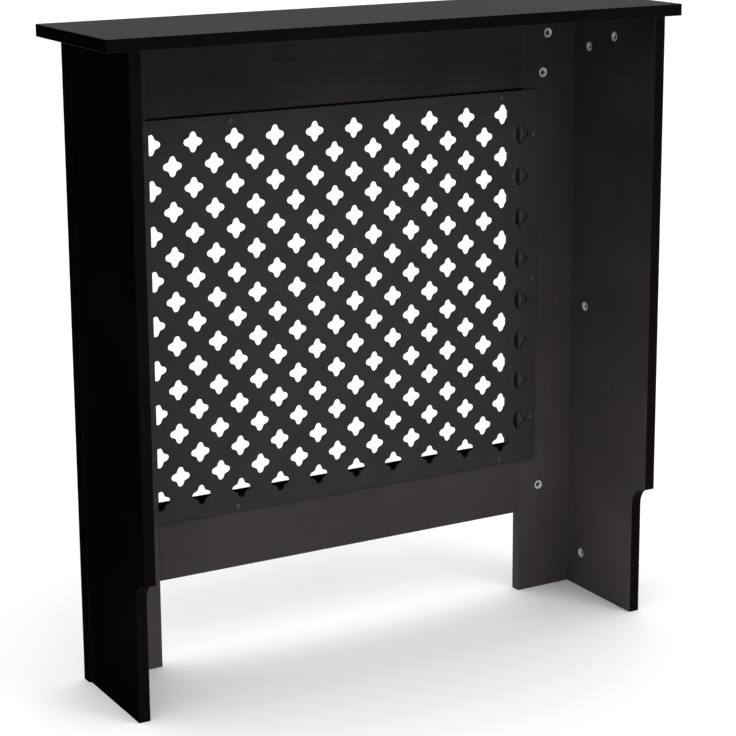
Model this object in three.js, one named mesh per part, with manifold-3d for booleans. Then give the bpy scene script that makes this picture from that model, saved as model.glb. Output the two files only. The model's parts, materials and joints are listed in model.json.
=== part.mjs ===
// Flat-pack radiator cover cabinet: a stile-and-rail front frame with a perforated grille screwed to its back,
// two side panels notched for the skirting board, and a shelf on top, all pulled together by cam locks.
// Millimetres. X runs across the cover, the front faces -Y, the open back faces the wall at +Y, and Z is up.
// The origin is on the floor, under the middle of the shelf. Left and right are as seen from the front.

import * as THREE from 'three';
import { mergeVertices } from 'three/addons/utils/BufferGeometryUtils.js';
import Module from 'manifold-3d';

const wasm = await Module();
wasm.setup();

// ---------------------------------------------------------------- driving dimensions

// Overall
const coverHeight = 820;
const shelfWidth = 790;
const shelfDepth = 210;

// Boards
const shelfThickness = 15;
const sideThickness = 15;
const frameThickness = 15;
const shelfSideOverhang = 26; // shelf end to the side panel's outer face
const shelfFrontOverhang = 20; // shelf front to the front frame's face
const frameLip = 3; // how far the front frame stands proud of each side panel's outer face
const stileWidth = 101;
const footGapHeight = 115; // floor to the bottom rail
const bottomRailHeight = 88;
const topRailHeight = 118;

// Notch that lets the side panels stand over a skirting board
const notchHeight = 180;
const notchDepth = 28;
const notchArcSteps = 8;

// Moulding round the front of the opening
const mouldingProud = 18; // in front of the frame's face
const mouldingWidth = 20; // over the frame's face
const mouldingReveal = 5; // inside the opening
const mouldingTongue = 6; // depth of the tongue that seats on the opening's edge
const mouldingOuterEdge = 3;
const mouldingCrest = 3; // flat crest over the frame's face
const mouldingBead = 2.5; // the crest eased into the reveal
const ogeeSteps = 5; // from the crest down to the outer edge
const mitreGap = 0.3;

// Perforated grille
const grilleThickness = 3;
const grilleSideLap = 24; // over each stile
const grilleRailLap = 13; // over each rail
const grilleShift = 1; // the sheet is fixed off centre, towards the right
const halfPitch = 28.1; // between neighbouring rows and columns of holes
const holeReach = 13; // hole centre to the tip of a lobe
const lobeRadius = 4.4;
const cuspRadius = 8.3; // hole centre to the inner corner between two lobes
const lobeHalfAngle = 38; // degrees to each side of the tip where a lobe's points lie
const grilleSideBorder = 27.5; // sheet edge to the centres of the nearest column
const grilleRailBorder = 28; // sheet edge to the centres of the nearest row

// Screws that hold the grille
const screwRadius = 1.5;
const screwLength = 11.5; // under the head
const screwHeadRadius = 3.6;
const screwHeadHeight = 2;
const screwHeadRim = 0.7; // straight side of the head, under its dome
const screwDomeSteps = 3;
const screwEdge = 7; // sheet edge to screw
const screwCornerDrop = 60; // sheet corner to the end screws of each stile
const railScrewRight = 134; // sheet's right edge to a rail's right screw
const railScrewLeft = 58; // sheet's left edge to a rail's left screw
const screwSlotLength = 4;
const screwSlotWidth = 0.8;
const screwSlotDepth = 1.1;

// Cam locks and their bolts
const camRadius = 7.5;
const camSkin = 2.5; // board left under a cam
const camSetback = 32; // joint to cam centre
const camWall = 1.5;
const camFaceThickness = 3.7;
const camTurn = 180; // degrees from locked to open
const camCrossLength = 8;
const camCrossWidth = 1.7;
const camCrossDepth = 2.2;
const boltRadius = 3;
const boltSkin = 4.5; // board left past a bolt's thread
const boltNeckRadius = 1.7;
const boltHeadRadius = 3.3;
const boltHeadThickness = 1.8;

// Wooden dowels
const dowelRadius = 4;
const dowelChamfer = 1;
const dowelEdgeDepth = 20; // into a board's edge, where the other board takes it in its face
const dowelRailDepth = 15; // into each of two edges
const dowelSkin = 5; // board left past a dowel

// Where the fixings sit
const railCamRise = 34; // over each rail's lower edge
const railDowelDrop = 24; // under each rail's upper edge
const stileCamInset = 62; // stile's outer edge to its shelf cam
const sideCamEndGap = 50; // each end of a side panel to its nearest front cam
const shelfDowelInset = 35; // side panel's rear edge to its shelf dowel

// Fits
const fitGap = 0.3; // round anything that sits in a hole
const cutterOverrun = 1; // how far a cutter passes the face that it opens
const weldDistance = 1e-4; // corners closer than this are one
const boreSides = 16;
const smallSides = 8;

// ---------------------------------------------------------------- derived places

const shelfUnderside = coverHeight - shelfThickness;
const wallPlane = shelfDepth / 2;
const frameFront = -shelfDepth / 2 + shelfFrontOverhang;
const frameBack = frameFront + frameThickness;
const sideOuter = shelfWidth / 2 - shelfSideOverhang;
const sideInner = sideOuter - sideThickness;
const stileOuter = sideOuter + frameLip;
const openingHalfWidth = stileOuter - stileWidth;
const bottomRailTop = footGapHeight + bottomRailHeight;
const topRailBottom = shelfUnderside - topRailHeight;
const openingHeight = topRailBottom - bottomRailTop;
const openingMiddle = (topRailBottom + bottomRailTop) / 2;
const grilleWidth = 2 * (openingHalfWidth + grilleSideLap);
const grilleHeight = openingHeight + 2 * grilleRailLap;
const grilleBack = frameBack + grilleThickness;

// Three cams join a side panel to its stile, evenly spaced, with a dowel midway between each two.
const sideCamHeights = {
  lower: sideCamEndGap,
  middle: shelfUnderside / 2,
  upper: shelfUnderside - sideCamEndGap,
};
const sideDowelHeights = {
  lower: (sideCamHeights.lower + sideCamHeights.middle) / 2,
  upper: (sideCamHeights.middle + sideCamHeights.upper) / 2,
};

const thinnestCamBoard = Math.min(sideThickness, frameThickness);
const thinnestBoltBoard = Math.min(shelfThickness, frameThickness);
const camDepth = thinnestCamBoard - camSkin;
const boltDepth = thinnestCamBoard / 2; // board face to bolt axis
const boltThread = thinnestBoltBoard - boltSkin;
const dowelFaceDepth = thinnestBoltBoard - dowelSkin;

// ---------------------------------------------------------------- materials

const finish = (color, roughness, metalness) => new THREE.MeshStandardMaterial({ color, roughness, metalness });
const shelfFinish = finish(0x2b2b2e, 0.55, 0);
const boardFinish = finish(0x1c1a1b, 0.6, 0);
const grilleFinish = finish(0x232122, 0.6, 0);
const zincFinish = finish(0x9a9b9c, 0.4, 0.9);
const steelFinish = finish(0x8c8e90, 0.35, 1);
const screwFinish = finish(0x141414, 0.45, 0.7);
const dowelFinish = finish(0xb98f5e, 0.8, 0);

// ---------------------------------------------------------------- solids

// A closed three.js geometry as a solid that can be joined and cut.
function solid(geometry) {
  const bare = geometry.clone();
  bare.deleteAttribute('normal');
  bare.deleteAttribute('uv');
  const merged = mergeVertices(bare, weldDistance);
  const vertProperties = new Float32Array(merged.attributes.position.array);
  const triVerts = new Uint32Array(merged.index.array);
  return new wasm.Manifold(new wasm.Mesh({ numProp: 3, vertProperties, triVerts }));
}

function geometryOf(body) {
  const { vertProperties, triVerts } = body.getMesh();
  const geometry = new THREE.BufferGeometry();
  geometry.setAttribute('position', new THREE.BufferAttribute(new Float32Array(vertProperties), 3));
  geometry.setIndex(new THREE.BufferAttribute(new Uint32Array(triVerts), 1));
  return geometry;
}

// A geometry with faceted normals, named and placed.
function piece(name, geometry, material, placement) {
  const flat = geometry.toNonIndexed();
  flat.computeVertexNormals();
  const mesh = new THREE.Mesh(flat, material);
  mesh.name = name;
  mesh.applyMatrix4(placement);
  return mesh;
}

const at = (x, y, z) => new THREE.Matrix4().makeTranslation(x, y, z);

// A board cut in the cover's own frame, then kept about its centre and placed there.
function board(name, blank, drilling, material) {
  const geometry = geometryOf(solid(blank).subtract(drilling));
  geometry.computeBoundingBox();
  const middle = geometry.boundingBox.getCenter(new THREE.Vector3());
  geometry.translate(-middle.x, -middle.y, -middle.z);
  return piece(name, geometry, material, at(middle.x, middle.y, middle.z));
}

function block([x0, x1], [y0, y1], [z0, z1]) {
  const box = new THREE.BoxGeometry(x1 - x0, y1 - y0, z1 - z0);
  return box.translate((x0 + x1) / 2, (y0 + y1) / 2, (z0 + z1) / 2);
}

// A round cutter along +Z whose flats, not corners, are `radius` from the axis.
function roundCutter(radius, z0, z1, sides) {
  const cylinder = new THREE.CylinderGeometry(1, 1, z1 - z0, sides);
  const cornerRadius = radius / Math.cos(Math.PI / sides);
  return cylinder.scale(cornerRadius, 1, cornerRadius).rotateX(Math.PI / 2).translate(0, 0, (z0 + z1) / 2);
}

// A turned piece along +X, from its outline as [distance along the axis, radius].
function turned(outline, sides) {
  const profile = outline.map(([along, radius]) => new THREE.Vector2(radius, along));
  return new THREE.LatheGeometry(profile, sides).rotateZ(-Math.PI / 2);
}

// Places a fixing: its local +Z points out of the board's face and its local +X crosses the joint.
function fixingPlacement({ point, face, across }) {
  const zAxis = new THREE.Vector3(...face);
  const xAxis = new THREE.Vector3(...across);
  const yAxis = new THREE.Vector3().crossVectors(zAxis, xAxis);
  return new THREE.Matrix4().makeBasis(xAxis, yAxis, zAxis).setPosition(...point);
}

// ---------------------------------------------------------------- fixings, in their own frames

// Cam: +Z out of the board's face at z = 0, +X towards the bolt when locked.
function camLock() {
  const cavityRadius = camRadius - camWall;
  const slotHalfHeight = boltNeckRadius + fitGap;
  const slotMargin = Math.asin((boltNeckRadius + fitGap) / cavityRadius);
  const headRoom = boltHeadRadius + fitGap;
  const sweep = THREE.MathUtils.degToRad(camTurn);

  const drum = solid(roundCutter(camRadius * Math.cos(Math.PI / boreSides), -camDepth, 0, boreSides));
  const cavityTop = Math.min(-camFaceThickness, -boltDepth + headRoom);
  const cavity = solid(roundCutter(cavityRadius, -boltDepth - headRoom, cavityTop, boreSides));

  const slotOutline = new THREE.Shape();
  slotOutline.moveTo(0, 0);
  slotOutline.absarc(0, 0, 2 * camRadius, -sweep - slotMargin, slotMargin, false);
  slotOutline.lineTo(0, 0);
  const slotShape = { depth: 2 * slotHalfHeight, bevelEnabled: false, curveSegments: smallSides };
  const slot = solid(new THREE.ExtrudeGeometry(slotOutline, slotShape).translate(0, 0, -boltDepth - slotHalfHeight));

  const entry = solid(roundCutter(headRoom, 0, 2 * camRadius, smallSides).rotateY(-Math.PI / 2)
    .translate(0, 0, -boltDepth));
  const crossArm = (length, width) => solid(new THREE.BoxGeometry(length, width, 2 * camCrossDepth));
  const cross = crossArm(camCrossLength, camCrossWidth).add(crossArm(camCrossWidth, camCrossLength));
  return geometryOf(drum.subtract(cavity).subtract(slot).subtract(entry).subtract(cross));
}

// Bolt: along +X from its head inside the cam to the end of its thread in the other board.
function camBolt() {
  const cavityRadius = camRadius - camWall;
  const headFront = Math.sqrt((cavityRadius - fitGap) ** 2 - boltHeadRadius ** 2);
  const shoulder = camRadius + fitGap;
  const tip = camSetback + boltThread;
  return turned([
    [headFront - boltHeadThickness, 0],
    [headFront - boltHeadThickness, boltHeadRadius],
    [headFront, boltHeadRadius],
    [headFront, boltNeckRadius],
    [shoulder, boltNeckRadius],
    [shoulder, boltRadius],
    [tip - boltRadius / 2, boltRadius],
    [tip, boltRadius / 2],
    [tip, 0],
  ], smallSides).translate(0, 0, -boltDepth);
}

// Everything that is drilled away for one cam and its bolt, in both boards.
function camDrilling() {
  const camBore = solid(roundCutter(camRadius + fitGap, -camDepth - fitGap, cutterOverrun, boreSides));
  const reach = camSetback + boltThread + fitGap;
  const boltBore = solid(roundCutter(boltRadius + fitGap, 0, reach, smallSides).rotateY(Math.PI / 2)
    .translate(0, 0, -boltDepth));
  return camBore.add(boltBore);
}

// Dowel: along +X, `back` into one board and `ahead` into the other, with the joint at x = 0.
function dowel({ back, ahead }) {
  return turned([
    [-back, 0],
    [-back, dowelRadius - dowelChamfer],
    [-back + dowelChamfer, dowelRadius],
    [ahead - dowelChamfer, dowelRadius],
    [ahead, dowelRadius - dowelChamfer],
    [ahead, 0],
  ], smallSides);
}

function dowelDrilling({ back, ahead }) {
  return solid(roundCutter(dowelRadius + fitGap, -back - fitGap, ahead + fitGap, smallSides).rotateY(Math.PI / 2));
}

// Screw: +Z out of the sheet, with its domed head seated at z = 0.
function grilleScrew() {
  const outline = [
    [-screwLength, 0],
    [-screwLength + screwRadius, screwRadius],
    [0, screwRadius],
    [0, screwHeadRadius],
  ];
  for (let step = 0; step < screwDomeSteps; step += 1) {
    const angle = (step / screwDomeSteps) * (Math.PI / 2);
    const height = screwHeadRim + (screwHeadHeight - screwHeadRim) * Math.sin(angle);
    outline.push([height, screwHeadRadius * Math.cos(angle)]);
  }
  outline.push([screwHeadHeight, 0]);
  const body = turned(outline, smallSides).rotateY(-Math.PI / 2);
  const arm = (length, width) => solid(new THREE.BoxGeometry(length, width, 2 * screwSlotDepth)
    .translate(0, 0, screwHeadHeight));
  return geometryOf(solid(body).subtract(arm(screwSlotLength, screwSlotWidth))
    .subtract(arm(screwSlotWidth, screwSlotLength)));
}

function screwDrilling() {
  return solid(roundCutter(screwRadius + fitGap, -screwLength - fitGap, cutterOverrun, smallSides));
}

// ---------------------------------------------------------------- where the fixings go

const sides = { left: -1, right: 1 };
const camFixings = [];
const dowelFixings = [];
for (const [side, sign] of Object.entries(sides)) {
  const inwards = [-sign, 0, 0];
  const rearwards = [0, 1, 0];
  const forwards = [0, -1, 0];
  const upwards = [0, 0, 1];
  const sideBoltX = sign * (sideInner + boltDepth);
  const frameBoltY = frameBack - boltDepth;

  const rails = { bottom_rail: [footGapHeight, bottomRailTop], top_rail: [topRailBottom, shelfUnderside] };
  for (const [rail, [lowerEdge, upperEdge]] of Object.entries(rails)) {
    camFixings.push({
      name: `${side}_${rail}`,
      point: [sign * (openingHalfWidth + camSetback), frameBack, lowerEdge + railCamRise],
      face: rearwards,
      across: inwards,
    });
    dowelFixings.push({
      name: `${side}_${rail}`,
      point: [sign * openingHalfWidth, frameBoltY, upperEdge - railDowelDrop],
      face: rearwards,
      across: inwards,
      back: dowelRailDepth,
      ahead: dowelRailDepth,
    });
  }
  for (const [level, height] of Object.entries(sideCamHeights)) {
    camFixings.push({
      name: `${side}_side_${level}`,
      point: [sign * sideInner, frameBack + camSetback, height],
      face: inwards,
      across: forwards,
    });
  }
  for (const [level, height] of Object.entries(sideDowelHeights)) {
    dowelFixings.push({
      name: `${side}_side_${level}`,
      point: [sideBoltX, frameBack, height],
      face: inwards,
      across: forwards,
      back: dowelEdgeDepth,
      ahead: dowelFaceDepth,
    });
  }
  camFixings.push({
    name: `${side}_stile_shelf`,
    point: [sign * (stileOuter - stileCamInset), frameBack, shelfUnderside - camSetback],
    face: rearwards,
    across: upwards,
  });
  camFixings.push({
    name: `${side}_side_shelf`,
    point: [sign * sideInner, (frameBack + wallPlane) / 2, shelfUnderside - camSetback],
    face: inwards,
    across: upwards,
  });
  dowelFixings.push({
    name: `${side}_side_shelf`,
    point: [sideBoltX, wallPlane - shelfDowelInset, shelfUnderside],
    face: inwards,
    across: upwards,
    back: dowelEdgeDepth,
    ahead: dowelFaceDepth,
  });
}

// Screw places on the sheet, measured from its middle.
const screwPlaces = {};
for (const [side, sign] of Object.entries(sides)) {
  const x = sign * (grilleWidth / 2 - screwEdge);
  screwPlaces[`${side}_upper`] = [x, grilleHeight / 2 - screwCornerDrop];
  screwPlaces[`${side}_middle`] = [x, 0];
  screwPlaces[`${side}_lower`] = [x, -grilleHeight / 2 + screwCornerDrop];
}
for (const [edge, sign] of Object.entries({ bottom: -1, top: 1 })) {
  const z = sign * (grilleHeight / 2 - screwEdge);
  screwPlaces[`${edge}_right`] = [grilleWidth / 2 - railScrewRight, z];
  screwPlaces[`${edge}_left`] = [-grilleWidth / 2 + railScrewLeft, z];
}
const screwFixings = Object.entries(screwPlaces).map(([name, [x, z]]) => ({
  name: `grille_screw_${name}`,
  point: [grilleShift + x, grilleBack, openingMiddle + z],
  face: [0, 1, 0],
  across: [1, 0, 0],
}));

const drilledFor = (fixings, cutterOf) => fixings.map((fixing) => cutterOf(fixing).transform(
  fixingPlacement(fixing).elements,
));
const drilling = wasm.Manifold.union([
  ...drilledFor(camFixings, camDrilling),
  ...drilledFor(dowelFixings, dowelDrilling),
  ...drilledFor(screwFixings, screwDrilling),
]);

// ---------------------------------------------------------------- boards

// Side panel outline in (Y, Z), with a concave quarter-round at the top of the skirting notch.
function sideBlank(sign) {
  const notchArcZ = notchHeight - notchDepth;
  const outline = new THREE.Shape();
  outline.moveTo(frameBack, 0);
  outline.lineTo(wallPlane - notchDepth, 0);
  outline.absarc(wallPlane, notchArcZ, notchDepth, Math.PI, Math.PI / 2, true);
  outline.lineTo(wallPlane, shelfUnderside);
  outline.lineTo(frameBack, shelfUnderside);
  outline.closePath();
  const shape = { depth: sideThickness, bevelEnabled: false, curveSegments: notchArcSteps };
  const toCover = new THREE.Matrix4().makeBasis(
    new THREE.Vector3(0, 1, 0),
    new THREE.Vector3(0, 0, 1),
    new THREE.Vector3(1, 0, 0),
  );
  const lowX = sign > 0 ? sideInner : -sideOuter;
  return new THREE.ExtrudeGeometry(outline, shape).applyMatrix4(toCover).translate(lowX, 0, 0);
}

function stileBlank(sign) {
  const edges = [sign * openingHalfWidth, sign * stileOuter].sort((a, b) => a - b);
  return block(edges, [frameFront, frameBack], [0, shelfUnderside]);
}

function railBlank(lowerEdge, upperEdge) {
  return block([-openingHalfWidth, openingHalfWidth], [frameFront, frameBack], [lowerEdge, upperEdge]);
}

const shelfBlank = block([-shelfWidth / 2, shelfWidth / 2], [-shelfDepth / 2, wallPlane],
  [shelfUnderside, coverHeight]);

// ---------------------------------------------------------------- grille

// One quatrefoil hole: two points on each lobe and one inner corner between lobes.
function quatrefoil(x, z) {
  const hole = new THREE.Path();
  const lobeCentre = holeReach - lobeRadius;
  const points = [];
  for (let lobe = 0; lobe < 4; lobe += 1) {
    const heading = lobe * Math.PI / 2;
    for (const turn of [-lobeHalfAngle, lobeHalfAngle]) {
      const angle = heading + THREE.MathUtils.degToRad(turn);
      points.push([
        lobeCentre * Math.cos(heading) + lobeRadius * Math.cos(angle),
        lobeCentre * Math.sin(heading) + lobeRadius * Math.sin(angle),
      ]);
    }
    const corner = heading + Math.PI / 4;
    points.push([cuspRadius * Math.cos(corner), cuspRadius * Math.sin(corner)]);
  }
  hole.setFromPoints(points.map(([u, v]) => new THREE.Vector2(x + u, z + v)));
  hole.closePath();
  return hole;
}

// The sheet lies in its own XY plane, centred, and is 3 mm deep along its own Z.
function grilleSheet() {
  const w = grilleWidth / 2;
  const h = grilleHeight / 2;
  const outline = new THREE.Shape();
  outline.setFromPoints([[-w, -h], [w, -h], [w, h], [-w, h]].map(([x, z]) => new THREE.Vector2(x, z)));
  outline.closePath();
  const columns = Math.floor((grilleWidth - 2 * grilleSideBorder) / halfPitch) + 1;
  const rows = Math.floor((grilleHeight - 2 * grilleRailBorder) / halfPitch) + 1;
  for (let row = 0; row < rows; row += 1) {
    for (let column = row % 2; column < columns; column += 2) {
      const x = ((columns - 1) / 2 - column) * halfPitch;
      const z = ((rows - 1) / 2 - row) * halfPitch;
      outline.holes.push(quatrefoil(x, z));
    }
  }
  const sheet = new THREE.ExtrudeGeometry(outline, { depth: grilleThickness, bevelEnabled: false });
  const clearance = wasm.Manifold.union(Object.values(screwPlaces).map(([x, z]) => solid(
    roundCutter(screwRadius + fitGap, -cutterOverrun, grilleThickness + cutterOverrun, smallSides)
      .translate(x, z, 0),
  )));
  return geometryOf(solid(sheet).subtract(clearance));
}

// ---------------------------------------------------------------- moulding

// Section across a moulding bar as [away from the opening, forwards of the frame's face]: a tongue inside the
// opening, then an ogee that climbs from the outer edge to the crest.
const mouldingSection = [
  [-mouldingReveal, -mouldingTongue],
  [0, -mouldingTongue],
  [0, 0],
  [mouldingWidth, 0],
];
for (let step = 0; step <= ogeeSteps; step += 1) {
  const climb = (1 - Math.cos((step / ogeeSteps) * Math.PI)) / 2;
  mouldingSection.push([
    mouldingWidth + (mouldingCrest - mouldingWidth) * (step / ogeeSteps),
    mouldingOuterEdge + (mouldingProud - mouldingOuterEdge) * climb,
  ]);
}
mouldingSection.push(
  [mouldingBead - mouldingReveal, mouldingProud],
  [-mouldingReveal, mouldingProud - mouldingBead],
);

// A bar along X with 45 degree mitres: its section points move out along the bar as they move away from the opening.
// Away from the opening is +Y here, and forwards is +Z.
function mouldingBar(openingLength) {
  const reach = openingLength / 2 - mitreGap / 2;
  const count = mouldingSection.length;
  const positions = [];
  for (const end of [-1, 1]) {
    for (const [away, forwards] of mouldingSection) {
      positions.push(end * (reach + away), away, forwards);
    }
  }
  const index = [];
  for (let here = 0; here < count; here += 1) {
    const next = (here + 1) % count;
    index.push(here, next, here + count, next, next + count, here + count);
  }
  const flatSection = mouldingSection.map(([away, forwards]) => new THREE.Vector2(away, forwards));
  for (const [a, b, c] of THREE.ShapeUtils.triangulateShape(flatSection, [])) {
    index.push(a, c, b, a + count, b + count, c + count);
  }
  const bar = new THREE.BufferGeometry();
  bar.setAttribute('position', new THREE.Float32BufferAttribute(positions, 3));
  bar.setIndex(index);
  return bar;
}

// Turns a bar so that its +Z faces the front and its +Y points away from the opening's middle.
function mouldingPlacement(point, away) {
  const forwards = new THREE.Vector3(0, -1, 0);
  const yAxis = new THREE.Vector3(...away);
  const xAxis = new THREE.Vector3().crossVectors(yAxis, forwards);
  return new THREE.Matrix4().makeBasis(xAxis, yAxis, forwards).setPosition(...point);
}

// ---------------------------------------------------------------- the cover

const cover = new THREE.Group();
cover.name = 'radiator_cover';

cover.add(
  board('shelf', shelfBlank, drilling, shelfFinish),
  board('top_rail', railBlank(topRailBottom, shelfUnderside), drilling, boardFinish),
  board('bottom_rail', railBlank(footGapHeight, bottomRailTop), drilling, boardFinish),
);
for (const [side, sign] of Object.entries(sides)) {
  cover.add(
    board(`${side}_side_panel`, sideBlank(sign), drilling, boardFinish),
    board(`${side}_stile`, stileBlank(sign), drilling, boardFinish),
  );
}

const sheetToCover = new THREE.Matrix4().makeBasis(
  new THREE.Vector3(1, 0, 0),
  new THREE.Vector3(0, 0, 1),
  new THREE.Vector3(0, -1, 0),
).setPosition(grilleShift, grilleBack, openingMiddle);
cover.add(piece('grille', grilleSheet(), grilleFinish, sheetToCover));

const uprightBar = mouldingBar(openingHeight);
const levelBar = mouldingBar(2 * openingHalfWidth);
for (const [side, sign] of Object.entries(sides)) {
  const placement = mouldingPlacement([sign * openingHalfWidth, frameFront, openingMiddle], [sign, 0, 0]);
  cover.add(piece(`${side}_moulding`, uprightBar, boardFinish, placement));
}
for (const [edge, sign] of Object.entries({ bottom: -1, top: 1 })) {
  const edgeZ = sign > 0 ? topRailBottom : bottomRailTop;
  const placement = mouldingPlacement([0, frameFront, edgeZ], [0, 0, sign]);
  cover.add(piece(`${edge}_moulding`, levelBar, boardFinish, placement));
}

const cam = camLock();
const bolt = camBolt();
for (const fixing of camFixings) {
  const placement = fixingPlacement(fixing);
  cover.add(
    piece(`${fixing.name}_cam`, cam, zincFinish, placement),
    piece(`${fixing.name}_bolt`, bolt, steelFinish, placement),
  );
}
for (const fixing of dowelFixings) {
  cover.add(piece(`${fixing.name}_dowel`, dowel(fixing), dowelFinish, fixingPlacement(fixing)));
}
const screw = grilleScrew();
for (const fixing of screwFixings) {
  cover.add(piece(fixing.name, screw, screwFinish, fixingPlacement(fixing)));
}

export default cover;
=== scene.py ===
"""A black flat-pack radiator cover, seen from its open back.

Metres. X runs across the cover, the front faces -Y, the open back faces the wall at +Y, and Z is up.
Left and right are as seen from the front.
"""

import json
import math

import bmesh
import bpy
from mathutils import Matrix, Vector
from mathutils.geometry import tessellate_polygon


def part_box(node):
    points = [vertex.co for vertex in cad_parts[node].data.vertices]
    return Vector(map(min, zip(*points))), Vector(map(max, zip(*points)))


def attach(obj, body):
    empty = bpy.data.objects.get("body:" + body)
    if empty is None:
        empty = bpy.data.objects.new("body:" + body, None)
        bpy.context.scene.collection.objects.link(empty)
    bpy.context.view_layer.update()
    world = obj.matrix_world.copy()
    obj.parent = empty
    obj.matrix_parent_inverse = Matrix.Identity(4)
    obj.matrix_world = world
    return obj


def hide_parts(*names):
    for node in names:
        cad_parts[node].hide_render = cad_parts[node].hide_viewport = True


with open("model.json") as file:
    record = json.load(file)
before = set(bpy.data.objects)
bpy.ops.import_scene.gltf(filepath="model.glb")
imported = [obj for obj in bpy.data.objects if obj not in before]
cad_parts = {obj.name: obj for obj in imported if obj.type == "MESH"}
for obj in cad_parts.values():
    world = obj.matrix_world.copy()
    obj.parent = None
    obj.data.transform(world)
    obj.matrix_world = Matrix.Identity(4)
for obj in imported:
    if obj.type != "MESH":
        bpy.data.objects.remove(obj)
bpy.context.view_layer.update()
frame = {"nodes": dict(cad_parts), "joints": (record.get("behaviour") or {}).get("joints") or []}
boxes = {node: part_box(node) for node in frame["nodes"]}

# ---------------------------------------------------------------- sizes

MM = 0.001

# Boards
ARRIS = 0.7 * MM  # the foil rounds every edge of a board this much
ARRIS_STEPS = 3
NOTCH_DEPTH = 28 * MM
NOTCH_HEIGHT = 180 * MM
NOTCH_STEPS = 24
ARRIS_ANGLE = math.radians(40)  # sharper edges than this are rounded
PAINTED_FALLOFF_TOP = 0.8  # painted light and shade: the inside foil is darkest at this height and above, and paler towards the floor
PAINTED_SHADOW_WIDTH = 3.2 * MM  # painted shadow: the black line above the sheet's top edge
PAINTED_SHADOW_BLUR = 1 * MM

# Moulding round the front of the opening
MOULDING_EDGE = 3 * MM
MOULDING_CREST = 3 * MM
MOULDING_BEAD = 2.5 * MM
OGEE_STEPS = 20
BEAD_STEPS = 6
MITRE_GAP = 0.3 * MM

# Pierced sheet
HOLE_PITCH = 28.1 * MM  # between neighbouring rows and columns
HOLE_COLUMNS = 20
HOLE_ROWS = 17
HOLE_REACH = 13 * MM  # hole centre to the tip of a lobe
LOBE_RADIUS = 4.4 * MM
LOBE_HALF_ANGLE = math.radians(74)
LOBE_STEPS = 8
CUSP_RADIUS = 8.3 * MM  # hole centre to the inner corner between two lobes
SHEET_EASE = 0.6 * MM  # paint softens the sheet's edges this much
EASE_STEPS = 2
EASE_LIMIT = 0.5  # holds back points that an eased sharp corner would throw far off
SCREW_HOLE_STEPS = 12

# Cam locks
CAM_WALL = 1.5 * MM
CAM_FACE = 3.7 * MM
CAM_CHAMFER = 0.45 * MM
CAM_SKIN = 2.5 * MM  # board left under a cam
CAM_RING_RADIUS = 6.1 * MM  # the face's bright part, outside which the rim has painted shade
CAM_CUP_RADIUS = 3.9 * MM
CAM_CUP_FLOOR = 3 * MM
CAM_CUP_DEPTH = 2.2 * MM
CAM_CROSS_LENGTH = 9 * MM
CAM_CROSS_WIDTH = 1.8 * MM
CAM_CROSS_DEPTH = 3.3 * MM
CAM_TURN = math.radians(180)
CAM_POINTER = ((0.88, 0), (0.68, 0.11), (0.68, -0.11))  # shares of the cam's radius
CAM_POINTER_DEPTH = 0.4 * MM
CUP_SHADE_SHARE = 0.9  # the share of the cup's depth below which it has painted shade
BOLT_NECK_ROOM = 2 * MM
BOLT_HEAD_ROOM = 3.6 * MM

# Fastener shanks, whose bores have FIT_GAP of room all round
BOLT_RADIUS = 3 * MM
DOWEL_RADIUS = 4 * MM
SCREW_RADIUS = 1.5 * MM
SCREW_HEAD_RADIUS = 3.6 * MM
SCREW_HEAD_HEIGHT = 2 * MM
SCREW_HEAD_RIM = 0.7 * MM
SCREW_CROSS_LENGTH = 4 * MM
SCREW_CROSS_WIDTH = 0.8 * MM
SCREW_CROSS_DEPTH = 1.1 * MM
SCREW_DOME_STEPS = 8
SCREW_STEPS = 32
SCREW_SPIN = math.radians(37)  # each screw stopped this much further round than the last
CROSS_TAPER = 0.72
FIT_GAP = 0.3 * MM
ROUND_STEPS = 48
CUTTER_OVERRUN = 1 * MM

# A face counts as facing a direction when its normal has more than this along it
MAINLY = 0.5
SQUARELY = 0.9

SIDES = {"left": -1, "right": 1}


# ---------------------------------------------------------------- shader maths

class Value:
    """An output of a material's node. Arithmetic on it adds the Math nodes that work it out."""

    def __init__(self, nodes, socket):
        self.nodes = nodes
        self.socket = socket

    def combine(self, operation, first, second):
        return self.nodes.add("ShaderNodeMath", {"operation": operation}, {0: first, 1: second})

    def __add__(self, other):
        return self.combine("ADD", self, other)

    def __sub__(self, other):
        return self.combine("SUBTRACT", self, other)

    def __rsub__(self, other):
        return self.combine("SUBTRACT", other, self)

    def __mul__(self, other):
        return self.combine("MULTIPLY", self, other)


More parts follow.
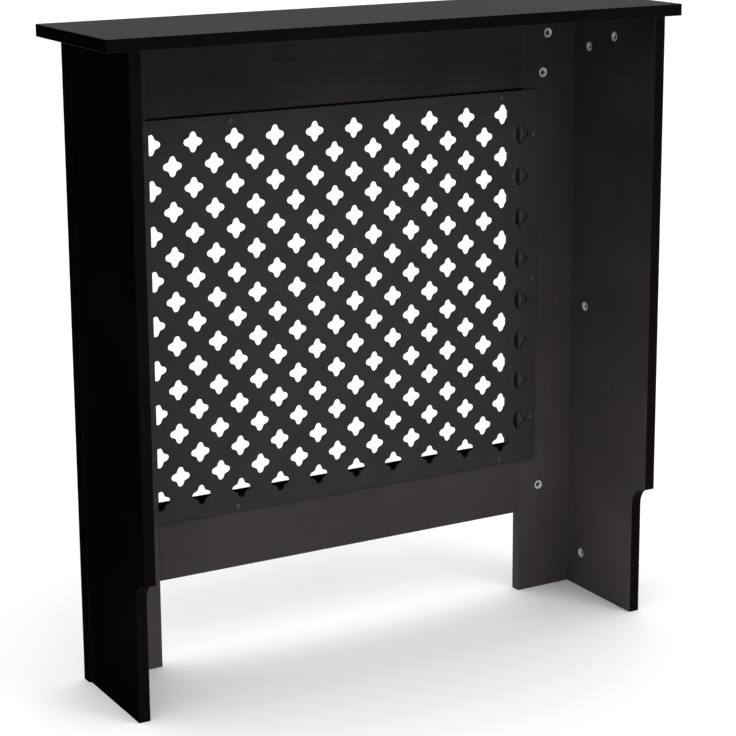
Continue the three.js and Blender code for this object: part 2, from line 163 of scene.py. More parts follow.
class Nodes:
    """A node tree that is filled one node at a time."""

    def __init__(self, owner):
        owner.use_nodes = True
        self.tree = owner.node_tree
        self.tree.nodes.clear()

    def add(self, kind, settings=None, sockets=None, output=0):
        """A node of that kind, with its settings set first and its sockets after them.

        Each socket gets a number, a colour or a Value.
        """
        node = self.tree.nodes.new(kind)
        for name, setting in (settings or {}).items():
            setattr(node, name, setting)
        for key, value in (sockets or {}).items():
            if isinstance(value, Value):
                self.tree.links.new(value.socket, node.inputs[key])
            else:
                node.inputs[key].default_value = value
        return Value(self, node.outputs[output]) if node.outputs else None

    def blend(self, amount, first, second):
        """A colour between two others, which are colours or Values."""
        sockets = {0: amount, 6: first, 7: second}
        return self.add("ShaderNodeMix", {"data_type": "RGBA"}, sockets, output=2)

    def step(self, value, start, end):
        """0 where value is under start, 1 where it is over end, and smooth in between."""
        sockets = {"Value": value, "From Min": start, "From Max": end}
        return self.add("ShaderNodeMapRange", {"interpolation_type": "SMOOTHSTEP"}, sockets)

    def place(self, stretch=(1, 1, 1)):
        """The point on the piece in metres, with each axis stretched."""
        point = self.add("ShaderNodeTexCoord", output=3)
        return self.add("ShaderNodeVectorMath", {"operation": "MULTIPLY"}, {0: point, 1: stretch})

    def lowness(self, top):
        """0 at that height and above, 1 on the floor, and smooth in between."""
        return self.step(self.height(), top, 0.0)

    def height(self):
        """Metres above the floor."""
        return self.add("ShaderNodeSeparateXYZ", {}, {0: self.place()}, output=2)

    def noise(self, place, per_metre, detail=2.0, roughness=0.5):
        sockets = {"Vector": place, "Scale": per_metre, "Detail": detail, "Roughness": roughness}
        return self.add("ShaderNodeTexNoise", {}, sockets)

    def bump(self, height, depth):
        return self.add("ShaderNodeBump", {}, {"Height": height, "Distance": depth, "Strength": 1.0})


def seen(red, green, blue):
    """A colour from its 8-bit screen values."""
    def linear(level):
        share = level / 255
        return share / 12.92 if share <= 0.04045 else ((share + 0.055) / 1.055) ** 2.4
    return (linear(red), linear(green), linear(blue), 1.0)


def finish(name, sockets_of):
    """A material whose Principled sockets come from sockets_of(nodes)."""
    material = bpy.data.materials.new(name)
    nodes = Nodes(material)
    surface = nodes.add("ShaderNodeBsdfPrincipled", {}, sockets_of(nodes))
    nodes.add("ShaderNodeOutputMaterial", {}, {"Surface": surface})
    return material


# ---------------------------------------------------------------- finishes

def board_foil(name, deep, pale, shine, roughness, along, painted_falloff=0.0, painted_shadow_base=None):
    """Printed foil over board: faint grain along the board, small pores and slow drifts of tone.

    Painted light and shade make it darker high up and paler towards the floor. A painted shadow can start
    at a given height: the foil is black up to its width above that height.
    """
    def sockets(nodes):
        stretch = {"x": (0.05, 1, 1), "z": (1, 1, 0.05)}[along]
        grain = nodes.noise(nodes.place(stretch), 420, detail=5, roughness=0.6)
        pores = nodes.step(nodes.noise(nodes.place(stretch), 1300, detail=2), 0.56, 0.7)
        drift = nodes.noise(nodes.place(), 5, detail=3)
        tone = nodes.step(grain * 0.3 + drift * 0.7 - pores * 0.06, 0.25, 0.75)
        # Painted light and shade: the tone is pulled darker higher up and paler towards the floor.
        if painted_falloff:
            tone = tone * (1 - painted_falloff) + nodes.lowness(PAINTED_FALLOFF_TOP) * painted_falloff
        colour = nodes.blend(tone, deep, pale)
        # A painted shadow: the foil turns black just above the sheet's top edge.
        if painted_shadow_base is not None:
            line = nodes.step(nodes.height(), painted_shadow_base + PAINTED_SHADOW_WIDTH, painted_shadow_base + PAINTED_SHADOW_WIDTH - PAINTED_SHADOW_BLUR)
            colour = nodes.blend(line, colour, seen(3, 2, 3))
        height = grain * 0.5 - pores * 0.6 + nodes.noise(nodes.place(), 900) * 0.25
        return {
            "Base Color": colour,
            "Roughness": grain * 0.1 + drift * 0.16 + pores * 0.1 + (roughness - 0.13),
            "Specular IOR Level": shine,
            "Normal": nodes.bump(height, 0.03 * MM),
        }
    return finish(name, sockets)


def edge_band(name):
    """Thin edge strip: blacker and smoother than the faces, with the saw's faint ripple under it."""
    def sockets(nodes):
        ripple = nodes.noise(nodes.place(), 260, detail=3)
        drift = nodes.noise(nodes.place(), 9)
        return {
            "Base Color": nodes.blend(drift, seen(2, 2, 2), seen(12, 12, 13)),
            "Roughness": ripple * 0.2 + 0.45,
            "Specular IOR Level": 0.02,
            "Normal": nodes.bump(ripple, 0.08 * MM),
        }
    return finish(name, sockets)


def sheet_paint(name, cool, warm, shine):
    """Paint over the pierced hardboard: fine nap, and soft patches that lean warm or neutral."""
    def sockets(nodes):
        nap = nodes.noise(nodes.place(), 1100, detail=3, roughness=0.65)
        patches = nodes.step(nodes.noise(nodes.place(), 17, detail=3), 0.36, 0.57)
        speck = nodes.step(nodes.noise(nodes.place(), 520, detail=1), 0.66, 0.74)
        base = nodes.blend(patches, cool, warm)
        flecked = nodes.blend(speck * 0.2 + nap * 0.15, base, seen(82, 79, 79))
        return {
            "Base Color": flecked,
            "Roughness": nap * 0.25 + 0.5,
            "Specular IOR Level": shine,
            "Normal": nodes.bump(nap + speck * 0.4, 0.07 * MM),
        }
    return finish(name, sockets)


def raw_board(name):
    """Bare fibreboard inside the drilled bores."""
    def sockets(nodes):
        fibre = nodes.noise(nodes.place(), 1500, detail=4, roughness=0.7)
        return {
            "Base Color": nodes.blend(fibre, seen(52, 40, 30), seen(112, 90, 68)),
            "Roughness": fibre * 0.2 + 0.75,
            "Specular IOR Level": 0.1,
            "Normal": nodes.bump(fibre, 0.2 * MM),
        }
    return finish(name, sockets)


def cast_zinc(name, pale, dull, metallic):
    """Tumbled zinc: pitted skin with dull stains."""
    def sockets(nodes):
        skin = nodes.noise(nodes.place(), 1600, detail=5, roughness=0.65)
        stain = nodes.noise(nodes.place(), 240, detail=2)
        pits = nodes.step(nodes.noise(nodes.place(), 2600, detail=1), 0.6, 0.72)
        return {
            "Base Color": nodes.blend(stain * 0.7 + pits * 0.3, pale, dull),
            "Metallic": metallic,
            "Roughness": skin * 0.25 + pits * 0.2 + 0.28,
            "Normal": nodes.bump(skin - pits * 0.6, 0.05 * MM),
        }
    return finish(name, sockets)


def turned_steel(name):
    """Bright steel with turning marks and a thin film of oil."""
    def sockets(nodes):
        marks = nodes.noise(nodes.place(), 2200, detail=3)
        film = nodes.noise(nodes.place(), 180)
        return {
            "Base Color": nodes.blend(film, seen(168, 168, 170), seen(138, 136, 132)),
            "Metallic": 1.0,
            "Roughness": marks * 0.2 + film * 0.12 + 0.2,
            "Normal": nodes.bump(marks, 0.03 * MM),
        }
    return finish(name, sockets)


def blackened_screw(name):
    """Black phosphate on steel, rubbed a little grey."""
    def sockets(nodes):
        rubbed = nodes.step(nodes.noise(nodes.place(), 900, detail=3), 0.4, 0.68)
        return {
            "Base Color": nodes.blend(rubbed, seen(52, 50, 50), seen(86, 84, 84)),
            "Metallic": 0.35,
            "Roughness": 0.55 - rubbed * 0.15,
            "Normal": nodes.bump(rubbed, 0.04 * MM),
        }
    return finish(name, sockets)


def beech(name):
    """Pale beech: fine grain and small dark flecks."""
    def sockets(nodes):
        grain = nodes.noise(nodes.place(), 340, detail=5, roughness=0.6)
        flecks = nodes.step(nodes.noise(nodes.place(), 1500, detail=1), 0.6, 0.7)
        wood = nodes.blend(grain, seen(204, 166, 118), seen(170, 128, 82))
        return {
            "Base Color": nodes.blend(flecks * 0.5, wood, seen(120, 82, 50)),
            "Roughness": grain * 0.2 + 0.6,
            "Normal": nodes.bump(grain - flecks * 0.5, 0.1 * MM),
        }
    return finish(name, sockets)


RAIL_TONES = seen(29, 25, 27), seen(68, 62, 64)
UPRIGHT_TONES = seen(28, 25, 26), seen(75, 69, 71)
# Painted shade: the outside tones are a darker, duller copy of the front's black foil, for outer faces that
# lie in shade.
OUTSIDE_TONES = seen(2, 2, 2), seen(7, 7, 8)
FRONT_TONES = seen(10, 10, 10), seen(22, 22, 23)
SHEET_TOP = boxes["grille"][1].z

SHELF_TOP = board_foil("shelf_top_foil", seen(38, 37, 40), seen(52, 51, 55), 0.03, 0.5, "x")
# The inside foils carry painted light and shade, darker higher up and paler low down.
INSIDE_ALONG_X = board_foil("inside_rail_foil", *RAIL_TONES, 0.06, 0.6, "x", painted_falloff=0.6)
# The top rail's foil has a painted shadow along the sheet's top edge.
TOP_RAIL_FOIL = board_foil("top_rail_foil", *RAIL_TONES, 0.06, 0.6, "x", painted_falloff=0.6, painted_shadow_base=SHEET_TOP)
INSIDE_ALONG_Z = board_foil("inside_upright_foil", *UPRIGHT_TONES, 0.06, 0.6, "z", painted_falloff=0.6)
# Painted light: the opening's edge faces get a paler copy of the inside foil, brighter than the light
# reaching them.
OPENING_EDGE = board_foil("opening_edge_foil", seen(60, 56, 58), seen(74, 70, 72), 0.06, 0.6, "z")
OUTSIDE_ALONG_X = board_foil("outside_edge_foil", *OUTSIDE_TONES, 0.0, 0.55, "x")
OUTSIDE_ALONG_Z = board_foil("outside_upright_foil", *OUTSIDE_TONES, 0.0, 0.55, "z")
FRONT_ALONG_X = board_foil("front_rail_foil", *FRONT_TONES, 0.3, 0.45, "x")
FRONT_ALONG_Z = board_foil("front_upright_foil", *FRONT_TONES, 0.3, 0.45, "z")
EDGE = edge_band("edge_band")
RAW_BOARD = raw_board("raw_board")
SHEET_FACE = sheet_paint("sheet_paint", seen(40, 41, 40), seen(46, 42, 43), 0.08)
# Painted shade: the sheet's edges and hole walls take a much darker copy of its paint.
SHEET_EDGE_SHADE = sheet_paint("sheet_edge_painted_shade", seen(10, 10, 10), seen(18, 15, 15), 0.04)
ZINC = cast_zinc("cast_zinc", seen(236, 235, 236), seen(198, 197, 199), 0.3)
# Painted shade: a dark copy of the zinc for the cup's floor and the rim round the bore.
SHADED_ZINC = cast_zinc("shaded_zinc", seen(58, 56, 56), seen(36, 34, 34), 0.1)
STEEL = turned_steel("turned_steel")
SCREW_BLACK = blackened_screw("blackened_screw")
BEECH = beech("beech")


# ---------------------------------------------------------------- mesh tools

def object_from(name, builder):
    """A new object from a bmesh, linked to the scene."""
    mesh = bpy.data.meshes.new(name)
    bmesh.ops.recalc_face_normals(builder, faces=builder.faces)
    builder.to_mesh(mesh)
    builder.free()
    piece = bpy.data.objects.new(name, mesh)
    bpy.context.scene.collection.objects.link(piece)
    return piece


def prism(name, outline, low, high, place):
    """A closed outline drawn in a plane and pushed from low to high.

    place(u, v, w) gives the point of each corner.
    """
    builder = bmesh.new()
    rings = [[builder.verts.new(place(u, v, level)) for u, v in outline] for level in (low, high)]
    builder.faces.new(rings[0])
    builder.faces.new(rings[1])
    for here in range(len(outline)):
        after = (here + 1) % len(outline)
        builder.faces.new([rings[0][here], rings[0][after], rings[1][after], rings[1][here]])
    return object_from(name, builder)


def turned(name, profile, steps=ROUND_STEPS):
    """A solid of revolution about Z. Its outline, as (radius, height), starts and ends on the axis."""
    builder = bmesh.new()
    rings = []
    for radius, height in profile:
        if radius == 0:
            rings.append([builder.verts.new((0, 0, height))])
            continue
        angles = [2 * math.pi * step / steps for step in range(steps)]
        points = [(radius * math.cos(a), radius * math.sin(a), height) for a in angles]
        rings.append([builder.verts.new(point) for point in points])
    for lower, upper in zip(rings, rings[1:]):
        for here in range(steps):
            after = (here + 1) % steps
            corners = [lower[here % len(lower)], lower[after % len(lower)]]
            corners += [upper[after % len(upper)], upper[here % len(upper)]]
            builder.faces.new(list(dict.fromkeys(corners)))
    return object_from(name, builder)


def arc(centre, radius, start, end, steps):
    """Points on an arc from one angle to another."""
    angles = [start + (end - start) * step / steps for step in range(steps + 1)]
    return [(centre[0] + radius * math.cos(a), centre[1] + radius * math.sin(a)) for a in angles]


def settle(piece):
    """Turns what a piece's modifiers make into its own mesh."""
    shaped = piece.evaluated_get(bpy.context.evaluated_depsgraph_get())
    old = piece.data
    piece.data = bpy.data.meshes.new_from_object(shaped)
    piece.modifiers.clear()
    piece.data.name = piece.name
    bpy.data.meshes.remove(old)


def soften(piece):
    """Rounds every sharp edge of a board."""
    rounding = piece.modifiers.new("arris", "BEVEL")
    rounding.width = ARRIS
    rounding.segments = ARRIS_STEPS
    rounding.limit_method = "ANGLE"
    rounding.angle_limit = ARRIS_ANGLE
    settle(piece)


def carve(piece, cutters):
    """Cuts each cutter out of the piece and throws the cutter away."""
    for cutter in cutters:
        cut = piece.modifiers.new("cut", "BOOLEAN")
        cut.operation = "DIFFERENCE"
        cut.solver = "EXACT"
        cut.object = cutter
        settle(piece)
        spent = cutter.data
        bpy.data.objects.remove(cutter)
        bpy.data.meshes.remove(spent)


def shade(piece, sharp_degrees=35):
    """Smooth shading that keeps flat faces flat and sharp corners sharp."""
    for face in piece.data.polygons:
        face.use_smooth = True
    piece.data.set_sharp_from_angle(angle=math.radians(sharp_degrees))
    weighted = piece.modifiers.new("even_shading", "WEIGHTED_NORMAL")
    weighted.keep_sharp = True


def cover_faces(piece, finishes, choose):
    """Gives each face the finish that choose(centre, normal) names."""
    names = list(finishes)
    piece.data.materials.clear()
    for name in names:
        piece.data.materials.append(finishes[name])
    for face in piece.data.polygons:
        face.material_index = names.index(choose(face.center, face.normal))


def hand_over(piece, body, slot, *nodes):
    """The piece rides on a body and stands for CAD nodes, which are hidden. The slot is not used."""
    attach(piece, body)
    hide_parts(*nodes)


# ---------------------------------------------------------------- bores

def odd_axis(size):
    """The axis of a round solid's box whose length isn't its diameter."""
    differences = [abs(size[(axis + 1) % 3] - size[(axis + 2) % 3]) for axis in range(3)]
    return differences.index(min(differences))


def bore_for(node):
    """A round cutter with FIT_GAP of room round the CAD node of a cam, bolt or dowel."""
    low, high = boxes[node]
    size = high - low
    axis = odd_axis(size)
    if node.endswith("_cam"):
        radius = max(size) / 2
    else:
        radius = BOLT_RADIUS if node.endswith("_bolt") else DOWEL_RADIUS
    reach = size[axis] / 2 + FIT_GAP
    outline = arc((0, 0), radius + FIT_GAP, 0, 2 * math.pi, ROUND_STEPS)[:-1]
    middle = (low + high) / 2

    def place(u, v, w):
        point = [0, 0, 0]
        point[axis] = w
        point[(axis + 1) % 3] = u
        point[(axis + 2) % 3] = v
        return Vector(point) + middle

    return prism("bore", outline, -reach, reach, place)


def overlaps(first, second):
    return all(first[0][axis] < second[1][axis] and second[0][axis] < first[1][axis] for axis in range(3))


def drill(piece, node):
    """Cuts the bores of every cam, bolt and dowel that sits in a board."""
    board = boxes[node]
    fixings = [name for name in frame["nodes"] if name.endswith(("_cam", "_bolt", "_dowel"))]
    carve(piece, [bore_for(name) for name in sorted(fixings) if overlaps(boxes[name], board)])


# ---------------------------------------------------------------- boards

def in_bore(node, centre):
    """True for a point under a board's surface, which only a bore's wall or floor has."""
    low, high = boxes[node]
    return all(low[axis] + ARRIS < centre[axis] < high[axis] - ARRIS for axis in range(3))


def flat_board(node, seams=()):
    """A square-edged board that fills its CAD node's box, drilled for its fixings.

    Its back is divided at each of seams, X values between its sides, so that the parts can differ in
    finish.
    """
    low, high = boxes[node]
    back = [(x, high.y) for x in sorted((low.x, *seams, high.x), reverse=True)]
    outline = [(low.x, low.y), (high.x, low.y), *back]
    piece = prism(f"{node}_board", outline, low.z, high.z, lambda u, v, w: (u, v, w))
    soften(piece)
    drill(piece, node)
    return piece


def make_shelf():
    piece = flat_board("shelf")

    def choose(centre, normal):
        if in_bore("shelf", centre):
            return "raw"
        if normal.z > MAINLY:
            return "top"
        if normal.z < -MAINLY:
            return "under"
        return "rear" if normal.y > MAINLY else "outside"

    finishes = {"top": SHELF_TOP, "under": INSIDE_ALONG_X, "rear": EDGE, "outside": OUTSIDE_ALONG_X,
                "raw": RAW_BOARD}
    cover_faces(piece, finishes, choose)
    shade(piece)
    hand_over(piece, "carcass", "shelf_foil", "shelf")


def make_frame_board(node, inside, outside):
    """A stile or rail: the outside foil in front, the inside foil at the back.

    The outside foil wraps round a stile's outer side, up to the side panel.
    """
    wrap = boxes["right_side_panel"][1].x
    piece = flat_board(node, [x for x in (-wrap, wrap) if boxes[node][0].x < x < boxes[node][1].x])

    def choose(centre, normal):
        if in_bore(node, centre):
            return "raw"
        if abs(centre.x) > wrap:
            return "front" if normal.y < -MAINLY else "outer"
        # Painted light: a stile's faces towards the opening take the paler opening foil.
        if node.endswith("_stile") and abs(normal.x) > MAINLY:
            return "opening"
        return "front" if normal.y < -MAINLY else "back"

    finishes = {"back": inside, "front": outside, "opening": OPENING_EDGE, "outer": OUTSIDE_ALONG_Z,
                "raw": RAW_BOARD}
    cover_faces(piece, finishes, choose)
    shade(piece)
    hand_over(piece, "carcass", "board_foil", node)


def make_side_panel(side, sign):
    node = f"{side}_side_panel"
    low, high = boxes[node]
    notch_top = low.z + NOTCH_HEIGHT
    notch_centre = (high.y, notch_top - NOTCH_DEPTH)
    notch = arc(notch_centre, NOTCH_DEPTH, math.pi, math.pi / 2, NOTCH_STEPS)
    outline = [(low.y, low.z), (high.y - NOTCH_DEPTH, low.z), *notch, (high.y, high.z), (low.y, high.z)]
    piece = prism(f"{node}_board", outline, low.x, high.x, lambda u, v, w: (w, u, v))
    soften(piece)
    drill(piece, node)

    def choose(centre, normal):
        across = normal.x * sign
        if in_bore(node, centre) and across < MAINLY and not on_notch(centre):
            return "raw"
        if across > MAINLY:
            return "outside"
        return "inside" if across < -MAINLY else "edge"

    def on_notch(centre):
        reach = math.hypot(centre.y - notch_centre[0], centre.z - notch_centre[1])
        below = centre.z < notch_centre[1] and centre.y > high.y - NOTCH_DEPTH - ARRIS
        return below or reach < NOTCH_DEPTH + ARRIS

    finishes = {"outside": OUTSIDE_ALONG_Z, "inside": INSIDE_ALONG_Z, "edge": EDGE, "raw": RAW_BOARD}
    cover_faces(piece, finishes, choose)
    shade(piece)
    hand_over(piece, "carcass", "board_foil", node)


# ---------------------------------------------------------------- pierced sheet

def quatrefoil(x, z):
    """One hole: four round lobes whose flanks flare to an inner corner between each two."""
    points = []
    for lobe in range(4):
        heading = lobe * math.pi / 2
        out = HOLE_REACH - LOBE_RADIUS
        middle = (x + out * math.cos(heading), z + out * math.sin(heading))
        start, end = heading - LOBE_HALF_ANGLE, heading + LOBE_HALF_ANGLE
        points += arc(middle, LOBE_RADIUS, start, end, LOBE_STEPS)
        corner = heading + math.pi / 4
        points.append((x + CUSP_RADIUS * math.cos(corner), z + CUSP_RADIUS * math.sin(corner)))
    return points


def drawn_in(loop, distance):
    """The loop with each point moved square to it: to the left of its direction, by distance."""
    moved = []
    for here, point in enumerate(loop):
        before, after = Vector(loop[here - 1]), Vector(loop[(here + 1) % len(loop)])
        here_at = Vector(point)
        first = (here_at - before).normalized()
        second = (after - here_at).normalized()
        square = Vector((-first.y - second.y, first.x + second.x)).normalized()
        moved.append(here_at + square * distance / max(EASE_LIMIT, square.dot(Vector((-first.y, first.x)))))
    return moved


def make_grille():
    low, high = boxes["grille"]
    middle = (low + high) / 2
    loops = [[(low.x, low.z), (high.x, low.z), (high.x, high.z), (low.x, high.z)]]
    for row in range(HOLE_ROWS):
        for column in range(row % 2, HOLE_COLUMNS, 2):
            x = middle.x + ((HOLE_COLUMNS - 1) / 2 - column) * HOLE_PITCH
            z = middle.z + ((HOLE_ROWS - 1) / 2 - row) * HOLE_PITCH
            loops.append(quatrefoil(x, z)[::-1])
    for name in sorted(frame["nodes"]):
        if name.startswith("grille_screw"):
            screw_low, screw_high = boxes[name]
            spot = (screw_low + screw_high) / 2
            hole = arc((spot.x, spot.z), SCREW_RADIUS + FIT_GAP, 2 * math.pi, 0, SCREW_HOLE_STEPS)
            loops.append(hole[:-1])

    # Each loop's wall, from the front cap round the eased edges to the rear cap.
    levels = []
    for step in range(EASE_STEPS + 1):
        angle = math.pi / 2 * step / EASE_STEPS
        levels.append((SHEET_EASE * (1 - math.sin(angle)), low.y + SHEET_EASE * (1 - math.cos(angle))))
    levels += [(inset, low.y + high.y - y) for inset, y in reversed(levels)]
    builder = bmesh.new()
    caps = {0: [], len(levels) - 1: []}
    for loop in loops:
        rings = []
        for level, (inset, y) in enumerate(levels):
            ring = [builder.verts.new((u, y, v)) for u, v in drawn_in(loop, inset)]
            rings.append(ring)
            if level in caps:
                caps[level].append(ring)
        for lower, upper in zip(rings, rings[1:]):
            for here in range(len(loop)):
                after = (here + 1) % len(loop)
                builder.faces.new([lower[here], lower[after], upper[after], upper[here]])
    for rings in caps.values():
        corners = [vertex for ring in rings for vertex in ring]
        flat = [[Vector((vertex.co.x, vertex.co.z, 0)) for vertex in ring] for ring in rings]
        for triangle in tessellate_polygon(flat):
            builder.faces.new([corners[index] for index in triangle])
    piece = object_from("grille_sheet", builder)
    # Edge faces and hole walls get the painted shade.
    cover_faces(piece, {"face": SHEET_FACE, "edge": SHEET_EDGE_SHADE},
                lambda centre, normal: "face" if abs(normal.y) > SQUARELY else "edge")
    shade(piece, sharp_degrees=50)
    hand_over(piece, "carcass", "grille_foil", "grille")


# ---------------------------------------------------------------- moulding

def moulding_section(width, proud, reveal, tongue):
    """Points as (away from the opening, forwards of the frame's face)."""
    points = [(-reveal, -tongue), (0, -tongue), (0, 0), (width, 0)]
    for step in range(OGEE_STEPS + 1):
        along = step / OGEE_STEPS
        climb = (1 - math.cos(along * math.pi)) / 2
        away = width + (MOULDING_CREST - width) * along
        points.append((away, MOULDING_EDGE + (proud - MOULDING_EDGE) * climb))
    bead = (MOULDING_BEAD - reveal, proud - MOULDING_BEAD)
    return points + arc(bead, MOULDING_BEAD, math.pi / 2, math.pi, BEAD_STEPS)


def make_moulding(node, half_opening, edge, place):
    """A bar with 45 degree mitres. place(along, away, forwards) gives a point of the cover."""
    reveal, width, proud, tongue = edge
    reach = half_opening - MITRE_GAP / 2
    section = moulding_section(width, proud, reveal, tongue)
    builder = bmesh.new()
    rings = [[builder.verts.new(place(end * (reach + away), away, forwards)) for away, forwards in section]
             for end in (-1, 1)]
    builder.faces.new(rings[0])
    builder.faces.new(rings[1])
    for here in range(len(section)):
        after = (here + 1) % len(section)
        builder.faces.new([rings[0][here], rings[0][after], rings[1][after], rings[1][here]])
    piece = object_from(f"{node}_bar", builder)
    inwards = Vector(place(0, -1, 0)) - Vector(place(0, 0, 0))
    # Painted light and shade: the side bars' reveals take the pale opening foil, the top and bottom bars'
    # reveals the dark outside foil.
    if node.startswith(("left", "right")):
        finishes = {"front": FRONT_ALONG_Z, "reveal": OPENING_EDGE}
    else:
        finishes = {"front": FRONT_ALONG_X, "reveal": OUTSIDE_ALONG_X}
    cover_faces(piece, finishes,
                lambda centre, normal: "reveal" if normal.dot(inwards) > SQUARELY else "front")
    shade(piece)
    hand_over(piece, "carcass", "board_foil", node)


def make_mouldings():
    stile_low, stile_high = boxes["right_stile"]
    rail_low, rail_high = boxes["bottom_rail"]
    top_low, _ = boxes["top_rail"]
    bar_low, bar_high = boxes["right_moulding"]
    face = stile_low.y
    edge = (stile_low.x - bar_low.x, bar_high.x - stile_low.x, face - bar_low.y, bar_high.y - face)
    half_width = stile_low.x
    half_height = (top_low.z - rail_high.z) / 2
    middle = (top_low.z + rail_high.z) / 2
    for side, sign in SIDES.items():
        make_moulding(f"{side}_moulding", half_height, edge, lambda along, away, forwards, sign=sign: (
            sign * (half_width + away), face - forwards, middle + along))
    for name, sign in {"bottom": -1, "top": 1}.items():
        make_moulding(f"{name}_moulding", half_width, edge, lambda along, away, forwards, sign=sign: (
            along, face - forwards, middle + sign * (half_height + away)))


# ---------------------------------------------------------------- fasteners

def cross_cutter(length, width, depth, top):
    """Two tapered arms, wide at the surface, as one outline pushed down from top."""
    half, arm = length / 2, width / 2
    outline = []
    for quarter in range(4):
        cos, sin = math.cos(quarter * math.pi / 2), math.sin(quarter * math.pi / 2)
        for u, v in ((half, -arm), (half, arm), (arm, arm)):
            outline.append((u * cos - v * sin, u * sin + v * cos))

    def place(u, v, w):
        share = 1 if w > top - depth / 2 else CROSS_TAPER
        return (u * share, v * share, w)

    return prism("cross", outline, top - depth, top + depth / 4, place)


def cam_mesh(depth, radius):
    """A cam lock: +Z out of the board, +X towards its bolt when locked, as its pointer shows."""
    piece = turned("cam", [
        (0, -depth), (radius - CAM_CHAMFER, -depth), (radius, CAM_CHAMFER - depth),
        (radius, -CAM_CHAMFER), (radius - 0.3 * CAM_CHAMFER, -0.3 * CAM_CHAMFER),
        (radius - CAM_CHAMFER, 0), (CAM_RING_RADIUS, 0), (CAM_CUP_RADIUS, 0),
        (CAM_CUP_FLOOR, -CAM_CUP_DEPTH), (0, -CAM_CUP_DEPTH - CAM_CHAMFER),
    ])
    bolt_axis = -(depth + CAM_SKIN) / 2
    cavity = radius - CAM_WALL

    def upright(u, v, w):
        return (u, v, w)

    def along_x(u, v, w):
        return (w, u, bolt_axis + v)

    margin = math.asin(BOLT_NECK_ROOM / cavity)
    sweep = [(0, 0), *arc((0, 0), 2 * radius, -CAM_TURN - margin, margin, ROUND_STEPS)]
    ring = arc((0, 0), 1, 0, 2 * math.pi, ROUND_STEPS)[:-1]
    hollow = [(u * cavity, v * cavity) for u, v in ring]
    head = [(u * BOLT_HEAD_ROOM, v * BOLT_HEAD_ROOM) for u, v in ring]
    cavity_top = min(-CAM_FACE, bolt_axis + BOLT_HEAD_ROOM)
    pointer = [(radius * share, radius * rise) for share, rise in CAM_POINTER]
    carve(piece, [
        prism("cavity", hollow, bolt_axis - BOLT_HEAD_ROOM, cavity_top, upright),
        prism("slot", sweep, bolt_axis - BOLT_NECK_ROOM, bolt_axis + BOLT_NECK_ROOM, upright),
        prism("entry", head, 0, 2 * radius, along_x),
        cross_cutter(CAM_CROSS_LENGTH, CAM_CROSS_WIDTH, CAM_CROSS_DEPTH, 0),
        prism("pointer", pointer, -CAM_POINTER_DEPTH, CUTTER_OVERRUN, upright),
    ])
    return piece


def cam_finish(centre, normal):
    """The outer rim of a cam's face and the floor of its cup get painted shade, a dark copy of the zinc."""
    away = math.hypot(centre.x, centre.y)
    in_cup = away < CAM_CUP_FLOOR and -CAM_FACE < centre.z < -CUP_SHADE_SHARE * CAM_CUP_DEPTH
    at_rim = away > CAM_RING_RADIUS and centre.z > -CAM_FACE
    return "shaded" if in_cup or at_rim else "clean"


def make_cams():
    pattern = None
    for joint in frame["joints"]:
        node = joint["child"]
        low, high = boxes[node]
        centre = Vector(joint["pos_m"])
        face = Vector(joint["axis"])
        bolt_low, bolt_high = boxes[node.replace("_cam", "_bolt")]
        across = (bolt_low + bolt_high) / 2 - centre
        across = (across - face * across.dot(face)).normalized()
        if pattern is None:
            size = high - low
            pattern = cam_mesh(depth=size[odd_axis(size)], radius=max(size) / 2)
            cover_faces(pattern, {"clean": ZINC, "shaded": SHADED_ZINC}, cam_finish)
            shade(pattern, sharp_degrees=30)
        piece = pattern.copy()
        piece.name = f"{node}_lock"
        bpy.context.scene.collection.objects.link(piece)
        turn = Matrix((across, face.cross(across), face)).transposed().to_4x4()
        piece.matrix_world = Matrix.Translation(centre) @ turn
        hand_over(piece, node, "cam_zinc", node)
    bpy.data.objects.remove(pattern)


def screw_mesh(length):
    """A pan-head screw: +Z out of the sheet, head seated at z = 0."""
    head = []
    for step in range(SCREW_DOME_STEPS):
        angle = math.pi / 2 * step / SCREW_DOME_STEPS
        height = SCREW_HEAD_RIM + (SCREW_HEAD_HEIGHT - SCREW_HEAD_RIM) * math.sin(angle)
        head.append((SCREW_HEAD_RADIUS * math.cos(angle), height))
    piece = turned("screw", [
        (0, -length), (SCREW_RADIUS, SCREW_RADIUS - length), (SCREW_RADIUS, 0),
        (SCREW_HEAD_RADIUS, 0), *head, (0, SCREW_HEAD_HEIGHT),
    ], steps=SCREW_STEPS)
    cross = cross_cutter(SCREW_CROSS_LENGTH, SCREW_CROSS_WIDTH, SCREW_CROSS_DEPTH, SCREW_HEAD_HEIGHT)
    carve(piece, [cross])
    return piece


def make_screws():
    seat = boxes["grille"][1].y
    names = sorted(name for name in frame["nodes"] if name.startswith("grille_screw"))
    pattern = screw_mesh(length=seat - boxes[names[0]][0].y)
    pattern.data.materials.append(SCREW_BLACK)
    shade(pattern)
    for order, name in enumerate(names):
        low, high = boxes[name]
        piece = pattern.copy()
        piece.name = f"{name}_head"
        bpy.context.scene.collection.objects.link(piece)
        upright = Matrix.Rotation(-math.pi / 2, 4, "X")
        spin = Matrix.Rotation(SCREW_SPIN * order, 4, "Z")
        spot = Vector(((low.x + high.x) / 2, seat, (low.z + high.z) / 2))
        piece.matrix_world = Matrix.Translation(spot) @ upright @ spin
        hand_over(piece, "carcass", "screw_black", name)
    bpy.data.objects.remove(pattern)


def dress_hidden_fixings():
    """Bolts and dowels stay as they are and get their finishes."""
    for name, node in frame["nodes"].items():
        for ending, material in {"_bolt": STEEL, "_dowel": BEECH}.items():
            if name.endswith(ending):
                node.material_slots[0].material = material


# ---------------------------------------------------------------- the cover

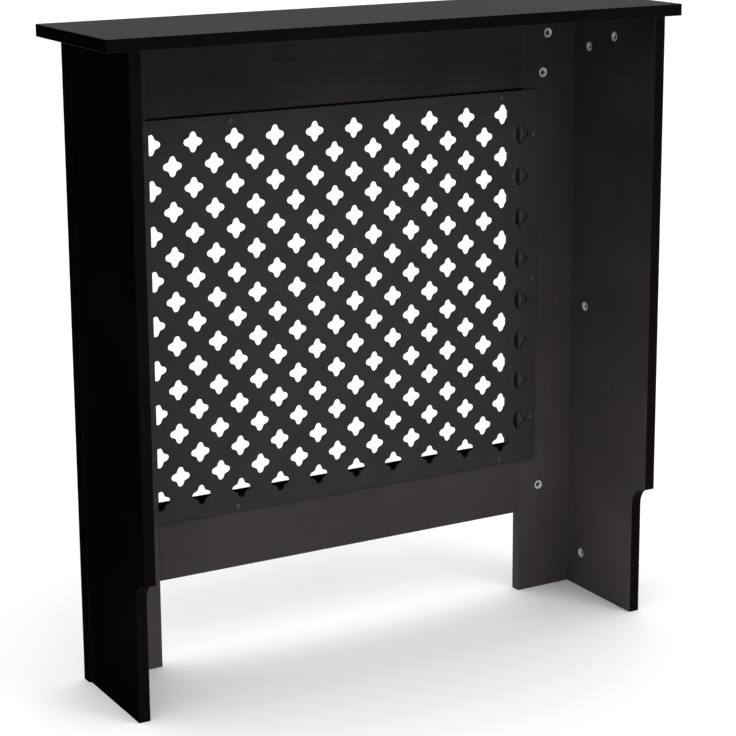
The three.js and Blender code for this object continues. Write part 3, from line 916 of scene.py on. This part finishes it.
make_shelf()
make_frame_board("top_rail", TOP_RAIL_FOIL, FRONT_ALONG_X)
make_frame_board("bottom_rail", INSIDE_ALONG_X, FRONT_ALONG_X)
for side_name, side_sign in SIDES.items():
    make_frame_board(f"{side_name}_stile", INSIDE_ALONG_Z, FRONT_ALONG_Z)
    make_side_panel(side_name, side_sign)
make_grille()
make_mouldings()
make_cams()
make_screws()
dress_hidden_fixings()


# ---------------------------------------------------------------- studio

HORIZON = 0.1  # the sky's strengths
ZENITH = 1.8
BACKDROP = 1.0
FLOOR_HALF = 30.0
FLOOR_THICKNESS = 0.01
CAMERA_PLACE = (1.33527, 2.3272, 1.0716)
CAMERA_YAW = math.radians(-29.72)
CAMERA_PITCH = math.radians(-12.97)
CAMERA_ROLL = math.radians(-0.35)
CAMERA_LENS = 106.88
CAMERA_SENSOR = 36
CAMERA_SHIFT = -0.085


def make_floor():
    half = FLOOR_HALF
    outline = [(-half, -half), (half, -half), (half, half), (-half, half)]
    floor = prism("floor", outline, -FLOOR_THICKNESS, 0, lambda u, v, w: (u, v, w))
    floor.data.materials.append(finish("pale_floor", lambda nodes: {
        "Base Color": nodes.blend(nodes.noise(nodes.place(), 3), seen(240, 240, 240), seen(246, 246, 246)),
        "Roughness": 0.9,
        "Specular IOR Level": 0.1,
    }))


def make_sky():
    """A soft dome that is brightest overhead. Behind the cover the picture shows plain white."""
    world = bpy.data.worlds.new("studio")
    bpy.context.scene.world = world
    nodes = Nodes(world)
    direction = nodes.add("ShaderNodeTexCoord", output=0)
    height = nodes.add("ShaderNodeSeparateXYZ", {}, {0: direction}, output=2)
    up = nodes.step(height, 0.0, 1.0)
    dome = up * (ZENITH - HORIZON) + HORIZON
    plain = nodes.add("ShaderNodeLightPath", output=0)
    strength = plain * BACKDROP + (1 - plain) * dome
    background = nodes.add("ShaderNodeBackground", {}, {"Color": (1, 1, 1, 1), "Strength": strength})
    nodes.add("ShaderNodeOutputWorld", {}, {"Surface": background})


def make_softbox(name, spot, aim, size, watts):
    light = bpy.data.lights.new(name, "AREA")
    light.shape = "RECTANGLE"
    light.size, light.size_y = size
    light.energy = watts
    lamp = bpy.data.objects.new(name, light)
    bpy.context.scene.collection.objects.link(lamp)
    lamp.location = spot
    lamp.rotation_euler = (Vector(aim) - Vector(spot)).to_track_quat("-Z", "Y").to_euler()


def make_camera():
    """The photograph's place and angle: behind the cover, to its right and a little above the shelf."""
    heading = Vector((math.sin(CAMERA_YAW), -math.cos(CAMERA_YAW), 0))
    forward = heading * math.cos(CAMERA_PITCH) + Vector((0, 0, math.sin(CAMERA_PITCH)))
    level = Vector((-math.cos(CAMERA_YAW), -math.sin(CAMERA_YAW), 0))
    upward = level.cross(forward)
    right = level * math.cos(CAMERA_ROLL) + upward * math.sin(CAMERA_ROLL)
    data = bpy.data.cameras.new("camera")
    data.sensor_width = CAMERA_SENSOR
    data.lens = CAMERA_LENS
    data.shift_y = CAMERA_SHIFT
    camera = bpy.data.objects.new("camera", data)
    bpy.context.scene.collection.objects.link(camera)
    turn = Matrix((right, right.cross(forward), -forward)).transposed().to_4x4()
    camera.matrix_world = Matrix.Translation(CAMERA_PLACE) @ turn
    bpy.context.scene.camera = camera


make_floor()
make_sky()
make_softbox("rear_softbox", spot=(-1.4, 2.8, 2.6), aim=(0, 0, 0.3), size=(1.4, 1.4), watts=30)
make_camera()
bpy.context.scene.view_settings.view_transform = "Standard"
